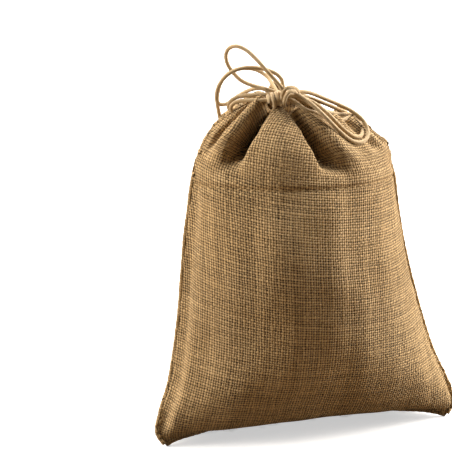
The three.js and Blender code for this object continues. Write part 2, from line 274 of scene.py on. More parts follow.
def grid_faces(rows, columns, flip=False):
    faces = []
    for row in range(rows - 1):
        for column in range(columns - 1):
            a = row * columns + column
            face = (a, a + 1, a + columns + 1, a + columns)
            faces.append(face[::-1] if flip else face)
    return faces


def settle(piece, body, replaced=()):
    """A finished piece rides on its body and stands for its CAD nodes."""
    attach(piece, body)
    if replaced:
        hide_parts(*replaced)
    return piece


def route_line(points, step):
    """A smooth centripetal curve through the points, as closely spaced points a step apart."""
    points = [Vector(p) for p in points]
    points = [2 * points[0] - points[1], *points, 2 * points[-1] - points[-2]]
    line = []
    for before, start, end, after in zip(points, points[1:], points[2:], points[3:]):
        t0, t1 = 0.0, math.sqrt((start - before).length)
        t2 = t1 + math.sqrt((end - start).length)
        t3 = t2 + math.sqrt((after - end).length)
        count = max(2, round((end - start).length / (step / 3)))
        for n in range(count):
            t = t1 + (t2 - t1) * n / count
            a1 = before.lerp(start, (t - t0) / (t1 - t0))
            a2 = start.lerp(end, (t - t1) / (t2 - t1))
            a3 = end.lerp(after, (t - t2) / (t3 - t2))
            b1, b2 = a1.lerp(a2, (t - t0) / (t2 - t0)), a2.lerp(a3, (t - t1) / (t3 - t1))
            line.append(b1.lerp(b2, (t - t1) / (t2 - t1)))
    line.append(points[-2])
    line = np.array(line)
    run = np.concatenate([[0], np.cumsum(np.linalg.norm(np.diff(line, axis=0), axis=1))])
    even = np.linspace(0, run[-1], max(2, round(run[-1] / step)) + 1)
    return np.stack([np.interp(even, run, line[:, n]) for n in range(3)], 1)


def relaxed(line, reach):
    """A line with its sharp turns eased over so many points; its two ends stay where they are."""
    padded = np.concatenate([np.repeat(line[:1], reach, axis=0), line, np.repeat(line[-1:], reach, axis=0)])
    weights = np.ones(2 * reach + 1) / (2 * reach + 1)
    eased = np.stack([np.convolve(padded[:, n], weights, "valid") for n in range(3)], 1)
    eased[0], eased[-1] = line[0], line[-1]
    return eased


def carried_frames(line):
    """Two crosswise directions at each point of a line, carried along it without twisting."""
    heading = np.gradient(line, axis=0)
    heading /= np.linalg.norm(heading, axis=1, keepdims=True)
    aside = Vector(heading[0]).orthogonal().normalized()
    sides = []
    for direction in heading:
        direction = Vector(direction)
        aside = (aside - direction * aside.dot(direction)).normalized()
        sides.append(aside[:])
    sides = np.array(sides)
    return sides, np.cross(heading, sides)


def rope_parts(line, diameter, sides=14, plies=3, lay=8.0, relief=0.10, start_angle=0.0, taper=None):
    """Points, faces and uvs of a laid cord along a line: its plies show as ridges that wind round it."""
    aside, upward = carried_frames(line)
    run = np.concatenate([[0], np.cumsum(np.linalg.norm(np.diff(line, axis=0), axis=1))])
    angles = np.linspace(0, 2 * math.pi, sides, endpoint=False) + start_angle
    wind = angles[None, :] - 2 * math.pi * run[:, None] / lay
    radius = diameter / 2 * (1 - relief * (1 - np.abs(np.cos(wind * plies / 2))) ** 1.5)
    if taper is not None:
        radius = radius * taper(run / run[-1])[:, None]
    ring = (aside[:, None, :] * np.cos(angles)[None, :, None]
            + upward[:, None, :] * np.sin(angles)[None, :, None])
    points = (line[:, None, :] + ring * radius[..., None]).reshape(-1, 3)
    faces = []
    for n in range(len(line) - 1):
        for k in range(sides):
            near, far = n * sides + k, n * sides + (k + 1) % sides
            faces.append((near, far, far + sides, near + sides))
    last = (len(line) - 1) * sides
    faces += [tuple(reversed(range(sides))), tuple(last + k for k in range(sides))]
    uvs = np.stack([np.repeat(run, sides), np.tile(angles * diameter / 2, len(line))], 1)
    return points, faces, uvs


def joined(parts):
    """Several (points, faces, uvs) as one."""
    points, faces, uvs, count = [], [], [], 0
    for part_points, part_faces, part_uvs in parts:
        points.append(part_points)
        uvs.append(part_uvs)
        faces += [tuple(n + count for n in face) for face in part_faces]
        count += len(part_points)
    return np.concatenate(points), faces, np.concatenate(uvs)


# ---------------------------------------------------------------- finishes
class Nodes:
    """Short ways to place and join shader nodes in one tree."""

    def __init__(self, tree):
        self.tree = tree

    def add(self, kind, **settings):
        node = self.tree.nodes.new(kind)
        for key, value in settings.items():
            setattr(node, key, value)
        return node

    def feed(self, socket, value):
        if isinstance(value, bpy.types.NodeSocket):
            self.tree.links.new(value, socket)
        elif value is not None:
            socket.default_value = value

    def math(self, operation, a, b=None, c=None, clamp=False):
        node = self.add("ShaderNodeMath", operation=operation, use_clamp=clamp)
        for socket, value in zip(node.inputs, (a, b, c)):
            self.feed(socket, value)
        return node.outputs[0]

    def noise(self, vector, scale, detail=2.0, rough=0.5):
        node = self.add("ShaderNodeTexNoise")
        self.feed(node.inputs["Vector"], vector)
        self.feed(node.inputs["Scale"], scale)
        node.inputs["Detail"].default_value = detail
        node.inputs["Roughness"].default_value = rough
        return node.outputs["Fac"]

    def random(self, vector):
        node = self.add("ShaderNodeTexWhiteNoise", noise_dimensions="3D")
        self.feed(node.inputs["Vector"], vector)
        return node.outputs["Value"]

    def vector(self, x=0.0, y=0.0, z=0.0):
        node = self.add("ShaderNodeCombineXYZ")
        for socket, value in zip(node.inputs, (x, y, z)):
            self.feed(socket, value)
        return node.outputs[0]

    def split(self, vector):
        node = self.add("ShaderNodeSeparateXYZ")
        self.feed(node.inputs[0], vector)
        return node.outputs

    def span(self, value, low, high, start=0.0, end=1.0):
        """A value between low and high, eased to between start and end."""
        node = self.add("ShaderNodeMapRange", interpolation_type="SMOOTHSTEP")
        for socket, number in zip(node.inputs, (value, low, high, start, end)):
            self.feed(socket, number)
        return node.outputs[0]

    def mix(self, share, a, b, blend="MIX"):
        node = self.add("ShaderNodeMix", data_type="RGBA", blend_type=blend)
        self.feed(node.inputs[0], share)
        self.feed(node.inputs[6], a)
        self.feed(node.inputs[7], b)
        return node.outputs[2]


def new_group(name, inputs, outputs):
    """A shader node group with named sockets; each input is (name, kind, value)."""
    group = bpy.data.node_groups.new(name, "ShaderNodeTree")
    for socket_name, kind, value in inputs:
        socket = group.interface.new_socket(name=socket_name, in_out="INPUT", socket_type=kind)
        if value is not None:
            socket.default_value = value
    for socket_name, kind in outputs:
        group.interface.new_socket(name=socket_name, in_out="OUTPUT", socket_type=kind)
    return group, Nodes(group)


def plain_weave_group():
    """Plain weave: threads go over and under each other, uneven in thickness, place and colour. Where the
    weave lies low, and in the gaps between threads, the colour is painted shade.
    """
    group, n = new_group(
        "plain weave",
        [("Cloth", "NodeSocketVector", None), ("Threads per metre", "NodeSocketFloat", 620.0),
         ("Thread width", "NodeSocketFloat", 0.70),
         ("Light", "NodeSocketColor", (0.74, 0.505, 0.255, 1)),
         ("Dark", "NodeSocketColor", (0.34, 0.215, 0.095, 1)),
         # painted shade: the near-black seen in the gaps between threads, standing in for the shaded inside
         # of the pouch
         ("Gap", "NodeSocketColor", (0.02, 0.011, 0.004, 1)),
         ("Seed", "NodeSocketFloat", 0.0)],
        [("Color", "NodeSocketColor"), ("Height", "NodeSocketFloat"), ("Roughness", "NodeSocketFloat")],
    )
    given = n.add("NodeGroupInput").outputs
    across, upward, _ = n.split(given["Cloth"])
    per_metre, seed = given["Threads per metre"], given["Seed"]
    u, v = n.math("MULTIPLY", across, per_metre), n.math("MULTIPLY", upward, per_metre)
    wander_u = n.noise(n.vector(n.math("MULTIPLY", u, 0.5), n.math("MULTIPLY", v, 0.09), seed), 1.0, 2.0)
    wander_v = n.noise(n.vector(n.math("MULTIPLY", u, 0.09), n.math("MULTIPLY", v, 0.5),
                                n.math("ADD", seed, 9.0)), 1.0, 2.0)
    u = n.math("ADD", u, n.math("MULTIPLY_ADD", wander_u, 1.1, -0.55))
    v = n.math("ADD", v, n.math("MULTIPLY_ADD", wander_v, 1.1, -0.55))
    column, row = n.math("FLOOR", u), n.math("FLOOR", v)
    parity = n.math("PINGPONG", n.math("ADD", column, row), 1.0)     # 1 where the warp is on top
    over = n.math("MULTIPLY_ADD", parity, 2.0, -1.0)

    def thread(place, run, number, other, top, offset):
        """One set of threads: its cover, its height, its tone."""
        key = n.vector(number, offset, seed)
        own = n.random(key)
        slub = n.noise(n.vector(n.math("MULTIPLY", number, 7.31), n.math("MULTIPLY", run, 0.13),
                                n.math("ADD", seed, offset)), 1.0, 2.0)
        lump = n.noise(n.vector(n.math("MULTIPLY", number, 3.7), n.math("MULTIPLY", run, 0.55),
                                n.math("ADD", seed, offset + 3)), 1.0, 2.0)
        width = n.math("MULTIPLY_ADD", own, 0.16, n.math("MULTIPLY_ADD", slub, 0.55, -0.355))
        width = n.math("ADD", width, given["Thread width"])
        from_axis = n.math("ABSOLUTE", n.math("SUBTRACT", n.math("FRACT", place), 0.5))
        from_axis = n.math("DIVIDE", from_axis, n.math("MULTIPLY", width, 0.5))
        fall = n.math("MULTIPLY", from_axis, from_axis)
        round_top = n.math("SQRT", n.math("SUBTRACT", 1.0, fall, clamp=True))
        wave = n.math("COSINE", n.math("MULTIPLY", n.math("SUBTRACT", n.math("FRACT", run), 0.5), math.pi))
        centre = n.math("MULTIPLY", n.math("MULTIPLY", wave, top), 0.42)
        height = n.math("ADD", centre, n.math("MULTIPLY", round_top, 0.5))
        fibres = n.noise(n.vector(n.math("MULTIPLY", place, 9.0),
                                  n.math("MULTIPLY_ADD", run, 1.3, n.math("MULTIPLY", place, 2.2)),
                                  n.math("MULTIPLY_ADD", number, 1.7, offset)), 1.0, 3.0, 0.6)
        cover = n.math("GREATER_THAN", round_top, 0.05)
        fine = n.math("MULTIPLY_ADD", fibres, 0.7, -0.5)
        tone = n.math("MULTIPLY_ADD", own, 0.42, n.math("MULTIPLY_ADD", lump, 0.75, fine))
        return cover, n.math("MULTIPLY_ADD", n.math("SUBTRACT", fibres, 0.5), 0.22, height), tone

    warp_cover, warp_height, warp_tone = thread(u, v, column, row, over, 11.0)
    weft_cover, weft_height, weft_tone = thread(v, u, row, column, n.math("MULTIPLY", over, -1.0), 23.0)
    warp_height = n.math("MULTIPLY_ADD", n.math("SUBTRACT", warp_cover, 1.0), 4.0, warp_height)
    weft_height = n.math("MULTIPLY_ADD", n.math("SUBTRACT", weft_cover, 1.0), 4.0, weft_height)
    height = n.math("MAXIMUM", n.math("MAXIMUM", warp_height, weft_height), -0.75)
    warp_wins = n.math("GREATER_THAN", warp_height, weft_height)
    tone = n.add("ShaderNodeMix", data_type="FLOAT")
    sockets = (tone.inputs[0], tone.inputs[2], tone.inputs[3])
    for socket, value in zip(sockets, (warp_wins, weft_tone, warp_tone)):
        n.feed(socket, value)
    colour = n.mix(n.math("ADD", tone.outputs[0], 0.0, clamp=True), given["Dark"], given["Light"])
    # painted shade: the colour darkens towards the shade colour where the weave lies low, and is fully that
    # colour in the gaps
    depth = n.span(height, 0.0, 0.86)
    colour = n.mix(depth, given["Gap"], colour)
    result = n.add("NodeGroupOutput").inputs
    n.feed(result["Color"], colour)
    n.feed(result["Height"], height)
    n.feed(result["Roughness"], n.math("MULTIPLY_ADD", tone.outputs[0], -0.12, 0.92))
    return group


def mottle_group():
    """Slow changes of tone over a whole piece, as in undyed plant fibre."""
    group, n = new_group(
        "undyed mottle",
        [("Color", "NodeSocketColor", (0.5, 0.5, 0.5, 1)),
         ("Tint", "NodeSocketColor", (0.84, 0.78, 0.66, 1)),
         ("Scale", "NodeSocketFloat", 22.0), ("Amount", "NodeSocketFloat", 0.5)],
        [("Color", "NodeSocketColor")],
    )
    given = n.add("NodeGroupInput").outputs
    place = n.add("ShaderNodeTexCoord").outputs["Object"]
    patches = n.span(n.noise(place, given["Scale"], 3.0, 0.55), 0.35, 0.68)
    tinted = n.mix(1.0, given["Color"], given["Tint"], "MULTIPLY")
    n.feed(n.add("NodeGroupOutput").inputs["Color"],
           n.mix(n.math("MULTIPLY", patches, given["Amount"]), given["Color"], tinted))
    return group


def new_material(name, roughness=0.9, sheen=0.0, sheen_tint=(1, 1, 1, 1), specular=0.2):
    material = bpy.data.materials.new(name)
    material.use_nodes = True
    material.node_tree.nodes.clear()
    n = Nodes(material.node_tree)
    shader = n.add("ShaderNodeBsdfPrincipled")
    shader.inputs["Roughness"].default_value = roughness
    shader.inputs["Specular IOR Level"].default_value = specular
    shader.inputs["Sheen Weight"].default_value = sheen
    shader.inputs["Sheen Roughness"].default_value = 0.5
    shader.inputs["Sheen Tint"].default_value = sheen_tint
    n.feed(n.add("ShaderNodeOutputMaterial").inputs["Surface"], shader.outputs[0])
    return material, n, shader


def use_group(n, group, **values):
    node = n.add("ShaderNodeGroup")
    node.node_tree = group
    for name, value in values.items():
        n.feed(node.inputs[name.replace("_", " ")], value)
    return node.outputs


def jute_material(name, weave, mottle, seed, hem=False, width=0.70):
    """Undyed jute sacking with painted shade between its threads. The doubled hem shows lighter painted
    shade between its threads.
    """
    material, n, shader = new_material(name, 0.9, 0.25, (0.95, 0.8, 0.58, 1), 0.15)
    cloth = n.add("ShaderNodeUVMap", uv_map="thread").outputs[0]
    # painted shade: the near-black seen through the gaps between threads; over the doubled hem it is
    # painted lighter, as less shade shows through two layers
    gap = (0.02, 0.011, 0.004, 1)
    if hem:
        _, height, _ = n.split(cloth)
        doubled = n.span(height, (PANEL_HEIGHT - HEM_DEPTH - 1) * MM, (PANEL_HEIGHT - HEM_DEPTH + 1) * MM)
        gap = n.mix(doubled, gap, (0.07, 0.04, 0.017, 1))
    woven = use_group(n, weave, Cloth=cloth, Seed=seed, Gap=gap, Thread_width=width)
    toned = use_group(n, mottle, Color=woven["Color"])
    n.feed(shader.inputs["Base Color"], toned["Color"])
    n.feed(shader.inputs["Roughness"], woven["Roughness"])
    relief = n.add("ShaderNodeBump")
    relief.inputs["Strength"].default_value = 0.9
    relief.inputs["Distance"].default_value = 0.0007
    n.feed(relief.inputs["Height"], woven["Height"])
    n.feed(shader.inputs["Normal"], relief.outputs[0])
    return material


def cotton_material(mottle):
    """Cream cotton cord: fine yarns wind round it, with a soft sheen."""
    material, n, shader = new_material("cotton_cord", 0.72, 0.35, (1.0, 0.93, 0.78, 1), 0.3)
    run, around, _ = n.split(n.add("ShaderNodeUVMap", uv_map="thread").outputs[0])
    wound = n.math("ADD", n.math("MULTIPLY", run, 1.0), n.math("MULTIPLY", around, 1.15))
    yarn = n.noise(n.vector(n.math("MULTIPLY", wound, 4200.0),
                            n.math("MULTIPLY", n.math("SUBTRACT", around, run), 260.0)), 1.0, 3.0, 0.6)
    stripe = n.math("MULTIPLY_ADD", n.math("SINE", n.math("MULTIPLY", wound, 7600.0)), 0.5, 0.5)
    relief = n.math("MULTIPLY_ADD", yarn, 0.7, n.math("MULTIPLY", stripe, 0.3))
    # painted shade: the cord is darker where its relief is low, in the grooves between its yarns; the yarn
    # noise in the relief also varies the tone at random
    colour = n.mix(n.span(relief, 0.25, 0.75), (0.27, 0.175, 0.08, 1), (0.60, 0.45, 0.26, 1))
    toned = use_group(n, mottle, Color=colour, Tint=(0.86, 0.76, 0.6, 1), Scale=60.0, Amount=0.6)
    n.feed(shader.inputs["Base Color"], toned["Color"])
    bumps = n.add("ShaderNodeBump")
    bumps.inputs["Strength"].default_value = 0.5
    bumps.inputs["Distance"].default_value = 0.0002
    n.feed(bumps.inputs["Height"], relief)
    n.feed(shader.inputs["Normal"], bumps.outputs[0])
    return material


def fibre_material(name, light, dark, mottle):
    """Loose single fibres and sewing thread."""
    material, n, shader = new_material(name, 0.8, 0.2, (1, 0.9, 0.7, 1), 0.25)
    place = n.add("ShaderNodeTexCoord").outputs["Object"]
    colour = n.mix(n.span(n.noise(place, 900.0, 2.0), 0.3, 0.7), dark, light)
    toned = use_group(n, mottle, Color=colour, Scale=120.0, Amount=0.5)
    n.feed(shader.inputs["Base Color"], toned["Color"])
    return material


# ---------------------------------------------------------------- drawstrings and bow, in millimetres
# Each drawstring leaves the hem at its own side in two strands, and the four strands meet in one bow.
# A strand is (panel, hand, level, (first, last) place in the hem as shares of the half width, route
# outside the hem). The strands begin further out in the hem than the runs, three of them by far,
# and no cord is drawn in between.
STRANDS = {
    "left_strand_front": (FRONT, LEFT, LOW_CORD, (0.60, 0.80), [
        (-44.2, -3.4, 199.6), (-47.2, -2.4, 200.8), (-48.6, -2.6, 203.6), (-46.6, -4.0, 206.8),
        (-42, -6.8, 208.4),
        (-36, -10.3, 208.8), (-27.6, -13, 209.2)]),
    "left_strand_back": (BACK, LEFT, LOW_CORD, (0.60, 0.80), [
        (-44.4, 2.4, 200), (-47.4, 1.6, 201.4), (-49, 0.6, 204.4), (-47.2, -0.9, 208),
        (-42.4, -3.8, 210.6),
        (-37, -7.4, 211.6), (-27.7, -10.6, 212)]),
    "right_strand_front": (FRONT, RIGHT, HIGH_CORD, (0.34, 0.64), [
        (31.2, -5.6, 190.2), (33.2, -3.6, 191.4), (33.4, -1.6, 193.8), (31, -1.8, 195.6),
        (27, -4.2, 195.8),
        (21.5, -8.2, 194.6), (15.5, -11.6, 194.8), (7.9, -15, 197.6), (-0.7, -18, 200.9),
        (-7.3, -19, 203.4),
        (-11.1, -17.5, 206), (-13.4, -15, 208.1)]),
    "right_strand_back": (BACK, RIGHT, HIGH_CORD, (0.58, 0.68), [
        (31.6, 7.6, 191), (33.4, 4.8, 191.8), (33.2, 2, 193.6), (30.4, 0.4, 195.2), (26.2, -0.8, 196.2),
        (20.6, -3.2, 196.6), (14, -7.4, 198.4), (7, -12, 201), (-1, -15, 204.6), (-7.4, -15.6, 207.6),
        (-10.9, -13, 209.1)]),
}
LOOPS = {
    "left_loop_upper": [
        (-22.4, -19, 217), (-25.8, -18, 221.1), (-31.1, -16.5, 227.2), (-36.4, -14, 233.4),
        (-41.5, -11, 238.4), (-46.7, -8, 240.5), (-49.9, -4.5, 238.8), (-51, -2, 234.7),
        (-49.8, -1, 229.6),
        (-46.4, -1, 224.2), (-41.7, -2.5, 219.5), (-35.8, -5.5, 216.8), (-29.3, -9, 215.2)],
    "left_loop_lower": [
        (-19.8, -11.3, 220.5), (-22.6, -11, 223.5), (-27.4, -10.5, 225.9), (-34.5, -10, 227.7),
        (-41.6, -9.2, 227.9), (-48.2, -8, 226.1), (-52.8, -6.5, 222.6), (-55.8, -4, 217.4),
        (-56.4, -1, 211.7),
        (-55.3, 2, 207.6), (-52.3, 5.8, 204.6), (-47, 8.6, 204.4), (-40.8, 9, 208.3),
        (-34.6, 4.2, 212.6),
        (-29.4, -1, 214.2), (-26.7, -5.7, 213.3)],
    "right_loop_upper": [
        (-10.1, -9.6, 212.9), (-1.9, -7.5, 211.5), (8.8, -5, 207.1), (18.9, -4, 202.6),
        (27.2, -5, 198.2),
        (32.8, -7.5, 193.2), (34.6, -11.2, 187.8), (32.6, -15.4, 184), (28.2, -19, 182.4),
        (22.2, -21.8, 183.3), (15.9, -23.4, 187), (9.7, -24, 192.6), (3.4, -23.8, 199),
        (-4.4, -21.8, 206.6),
        (-11.2, -17.4, 211.9)],
    "right_loop_lower": [
        (-10.4, -9, 209.4), (-1.3, -5, 207.9), (9.8, -1.5, 203.7), (19.8, -0.2, 199.2),
        (27.4, -1.4, 195.3),
        (31.5, -5.6, 190.6), (31.2, -11.2, 186.8), (27.8, -16.2, 185.3), (22.8, -19.2, 186.1),
        (17.6, -20.5, 189.3), (12.2, -20.7, 194.2), (5.8, -20.7, 200.6), (-2.4, -19, 207.1),
        (-9.9, -13.8, 210.2)],
}
TAILS = {
    "left_tail_outer": [
        (-20.5, -3.6, 212.5), (-21, 2, 215.5), (-22.5, 8.5, 219.5), (-28, 12, 223.2),
        (-35.2, 12.3, 224.4),
        (-42.2, 12.5, 223.3), (-47.3, 12.8, 219.8), (-50.4, 13.6, 214.6), (-51.5, 15.5, 205.9),
        (-49.8, 19.5, 200.1), (-47.6, 24, 194.4), (-45.1, 28.5, 187.3), (-47.3, 33.5, 178),
        (-48.8, 36.5, 166),
        (-50.5, 38.8, 154), (-51.8, 40, 143)],
    "left_tail_inner": [
        (-23, -4.8, 209.5), (-25.5, 2, 209.5), (-27.5, 9, 210), (-30, 16, 207), (-33.5, 22, 201.5),
        (-37.5, 27, 194), (-41, 31.5, 184.5), (-43.8, 35.5, 174.5), (-46, 39, 163), (-47.6, 41.5, 152),
        (-48.6, 42.5, 142)],
    "right_tail_outer": [
        (-14.5, -4.9, 212), (-9, 2, 211), (-2.5, 9.5, 209.3), (5, 16.5, 205), (12, 23, 197.5),
        (17.5, 28.5, 188),
        (21.5, 33.5, 177), (24, 38.5, 165), (25.5, 42.8, 153), (26.2, 46.3, 141), (26.5, 48.6, 130)],
    "right_tail_inner": [
        (-18.5, -3.5, 210.5), (-15.5, 3.5, 209), (-10, 11.5, 207.8), (-3, 18.8, 203.8),
        (4, 25.5, 196.5),
        (10, 31, 187), (15, 36, 176), (19, 40.8, 164), (21.7, 45, 152), (23, 48.2, 141), (23.3, 50.2, 130)],
}
END_KNOTS = {"left": (-50.6, 41.3, 136), "right": (25, 50, 124)}
KNOT_HEART = (-19, -12, 211)


def in_the_hem(side, across, level, depth=2.6):
    """Places between the two layers of the hem, where a drawstring runs."""
    columns = np.linspace(-1, 1, 161)
    rows = np.array([level - 0.01, level, level + 0.01])
    points, _ = cloth_grid(side, columns, rows)
    inside = (points - outward_normals(points, side) * depth)[1]
    return np.stack([np.interp(across, columns, inside[:, n]) for n in range(3)], -1)


def add_cord(name, line, cotton, body, taper=None):
    """A free length of drawstring along a line of points in mm."""
    points, faces, uvs = rope_parts(line, CORD, start_angle=len(name) * 0.7, taper=taper)
    piece = settle(add_mesh(f"{name}_cord", points, faces, cotton, uvs), body, [name])
    return piece


def overhand_knot(centre, size, turn):
    """The line of a small overhand knot: a trefoil pulled tight round a cord that hangs straight down."""
    t = np.linspace(0.15, 2 * math.pi - 0.15, 46)
    x = np.sin(t) + 1.55 * np.sin(2 * t)
    y = np.cos(t) - 1.55 * np.cos(2 * t)
    z = -1.1 * np.sin(3 * t)
    c, s = math.cos(turn), math.sin(turn)
    flat = np.stack([x * c - y * s, z * 0.95, x * s + y * c], 1) * size / 3
    return flat + np.array(centre)


def add_end_knot(hand, cotton, rng):
    """Both ends of a drawstring tied together in an overhand knot, with short frayed ends below."""
    centre = Vector(END_KNOTS[hand])
    parts = [rope_parts(route_line(overhand_knot(centre, 3.1, 0.5), 0.5), CORD * 0.95, sides=12)]
    for offset in (-1.2, 1.2):
        ends = [centre + Vector((offset, 0, 2)), centre + Vector((offset * 1.3, 0.3, -3)),
                centre + Vector((offset * 1.8, 0.2, -8))]
        parts.append(rope_parts(route_line(ends, 0.5), CORD * 0.92, sides=12))
        for _ in range(34):
            tip = Vector((rng.gauss(0, 1.1), rng.gauss(0, 0.8), -rng.uniform(3, 6.5)))
            root = ends[-1] + Vector((rng.uniform(-0.9, 0.9), rng.uniform(-0.9, 0.9), 0.6))
            hair = route_line([root, root + tip * 0.5 + Vector((0, 0, -0.5)), root + tip], 1.2)
            parts.append(rope_parts(hair, 0.22, sides=3, relief=0))
    name = f"{hand}_end_knot"
    points, faces, uvs = joined(parts)
    piece = add_mesh(f"{name}_cord", points, faces, cotton, uvs)
    return settle(piece, f"{hand}_tails", [name])


def add_bow_knot(cotton):
    """The bow's knot: turns wrapped round the left strands, with two arches drawn over them."""
    axis = Vector((0.92, -0.15, 0.36)).normalized()
    aside = axis.cross(Vector((0, 0, 1))).normalized()
    upward = aside.cross(axis)
    heart = Vector(KNOT_HEART)
    wraps = []
    turns, per_turn = 2.6, 16
    for n in range(round(turns * per_turn) + 1):
        angle = 2 * math.pi * n / per_turn
        shift = -9.6 + 2.55 * n / per_turn
        radius = 3.5 - 0.25 * math.cos(angle * 0.5)
        wraps.append(heart + Vector((0, -1.6, 0.2)) + axis * shift
                     + (aside * math.cos(angle) + upward * math.sin(angle)) * radius)
    arch = [(-19.1, -13.0, 206.3), (-21.3, -17.0, 210.5), (-21.5, -19.0, 214.3), (-19.5, -19.5, 216.4),
            (-16.5, -18.5, 216.8), (-12.9, -16.0, 215.5), (-9.8, -12.0, 212.5), (-8.7, -8.5, 208.6),
            (-11.5, -7.5, 206.8)]
    second = [(-19.2, -14.0, 205.2), (-20.3, -18.5, 209.2), (-19.8, -20.5, 212.6), (-17.7, -20.5, 214.6),
              (-14.6, -18.5, 214.4), (-11.6, -15.0, 211.7)]
    parts = [rope_parts(route_line(wraps, CORD_STEP), CORD),
             rope_parts(route_line(arch, CORD_STEP), CORD * 1.04),
             rope_parts(route_line(second, CORD_STEP), CORD)]
    ends = [route[-1] for *_, route in STRANDS.values()]
    ends += [place for route in LOOPS.values() for place in (route[0], route[-1])]
    ends += [route[0] for route in TAILS.values()]
    for n, end in enumerate(ends):
        end = Vector(end)
        inner = heart + Vector((1.2 * math.sin(2.4 * n), 1.2 * math.cos(2.4 * n), 0.9 * math.sin(1.7 * n)))
        reach = end + (end - inner).normalized() * 0.6
        stub = route_line([reach, end.lerp(inner, 0.5), inner], 0.5)
        parts.append(rope_parts(stub, CORD * 0.97, sides=12))
    points, faces, uvs = joined(parts)
    settle(add_mesh("bow_knot_cord", points, faces, cotton, uvs), "pouch", ["bow_knot"])


def add_drawstrings(cotton, rng):
    """The four strands, the double bow, the tails and their knots, and the two cords inside the hem."""
    for name, (side, hand, level, (start, end), route) in STRANDS.items():
        hidden = relaxed(in_the_hem(side, hand * np.linspace(start, end, 24), level), 4)
        line = relaxed(route_line([*hidden[::5], *route], CORD_STEP), 5)
        add_cord(name, route_line(line[::3], CORD_STEP), cotton, "pouch")
    for name, route in LOOPS.items():
        body = name.split("_")[0] + "_loops"
        add_cord(name, route_line(route, CORD_STEP), cotton, body)
    knots = {hand: add_end_knot(hand, cotton, rng) for hand in END_KNOTS}
    for name, route in TAILS.items():
        hand = name.split("_")[0]
        line = route_line([*route, END_KNOTS[hand]], CORD_STEP)
        add_cord(name, line, cotton, f"{hand}_tails")
    for word, hand, level in (("left", LEFT, LOW_CORD), ("right", RIGHT, HIGH_CORD)):
        # round the front from its own side, past the opposite exit, and back round the back
        name = f"{word}_drawstring_run"
        there = in_the_hem(FRONT, hand * np.linspace(RUN_START, RUN_TURN, 90), level)
        back = in_the_hem(BACK, hand * np.linspace(RUN_TURN, RUN_START, 90), level)
        line = relaxed(route_line([*there, *back], 0.8), 3)
        parts = rope_parts(line, CORD * 0.9, sides=10)
        settle(add_mesh(f"{name}_cord", *parts[:2], cotton, parts[2]), "pouch", [name])


# ---------------------------------------------------------------- cloth pieces
def add_cloth(side, jute):
    """One panel with its hem: up the outside, over the fold at the mouth and down the inside."""
    name = "front" if side == FRONT else "back"
    across = np.linspace(-1, 1, 221)
    up = np.concatenate([np.linspace(0, 0.70, 82)[:-1], np.linspace(0.70, 1, 72)])
    points, tucked = cloth_grid(side, across, up)
    u, v = flat_coordinates(side, points, tucked, across, up)
    normals = outward_normals(points, side)
    rows = [points]
    us, vs = [u], [v]
    fold = 1.35
    upward = points[-1] - points[-2]
    upward /= np.linalg.norm(upward, axis=1, keepdims=True)
    for angle in (0.25, 0.5, 0.75):
        turn = angle * math.pi
        lip = points[-1] - normals[-1] * fold * (1 - math.cos(turn)) + upward * fold * math.sin(turn)
        rows.append(lip[None])
        us.append(u[-1:])
        vs.append(v[-1:] + fold * turn)
    hem_rows = np.flatnonzero(up > HEM_LEVEL - HEM_STEP)[::-1]
    tunnel = bump(up[hem_rows], (LOW_CORD + HIGH_CORD) / 2, 0.055)
    depth = 2 * fold - 1.1 * smooth(1 - up[hem_rows], 0.0, 0.02) + 2.5 * tunnel
    rows.append(points[hem_rows] - normals[hem_rows] * depth[:, None, None])
    us.append(u[hem_rows])
    vs.append(2 * v[-1:] + fold * math.pi - v[hem_rows])
    grid = np.concatenate(rows)
    uvs = np.stack([np.concatenate(us), np.concatenate(vs)], -1).reshape(-1, 2)
    faces = grid_faces(len(grid), len(across), flip=side == BACK)
    piece = add_mesh(f"{name}_cloth", grid.reshape(-1, 3), faces, jute, uvs)
    thickness = piece.modifiers.new("cloth thickness", "SOLIDIFY")
    thickness.thickness = CLOTH * MM
    thickness.offset = -1
    settle(piece, "pouch", [f"{name}_panel", f"{name}_casing", f"{name}_hem_facing"])
    return points, normals


def seam_roll(line, width, height, lean_out, wave):
    """The turned edge along a seam: a soft flattened roll, drawn in a little by each stitch."""
    points, faces, uvs = rope_parts(line, 1.0, sides=10, relief=0)
    centres = np.repeat(line, 10, axis=0)
    run = np.repeat(np.concatenate([[0], np.cumsum(np.linalg.norm(np.diff(line, axis=0), axis=1))]), 10)
    swell = 1 + wave * np.sin(run * 2 * math.pi / 4.2) + 0.5 * wave * np.sin(run * 0.9)
    spread = (points - centres) * 2
    points = centres + spread * np.array([width, height, height]) / 2 * swell[:, None]
    points += np.array(lean_out) * np.sin(run * 0.23)[:, None]
    uvs = np.stack([uvs[:, 1] * 6 + 40, uvs[:, 0]], 1)
    return points, faces, uvs


def stitches(line, normals, length, gap, diameter, lift):
    """Separate stitches of thread that sink into the cloth at both ends."""
    run = np.concatenate([[0], np.cumsum(np.linalg.norm(np.diff(line, axis=0), axis=1))])
    parts = []
    start = gap
    while start + length < run[-1]:
        share = np.linspace(0, 1, 7)
        at = start + share * length
        place = np.stack([np.interp(at, run, line[:, n]) for n in range(3)], 1)
        out = np.stack([np.interp(at, run, normals[:, n]) for n in range(3)], 1)
        rise = (np.sin(share * math.pi) ** 0.6 * (lift + 0.5) - 0.5)[:, None]
        parts.append(rope_parts(place + out * rise, diameter, sides=8, plies=2, lay=2.6, relief=0.16))
        start += length + gap
    return joined(parts)


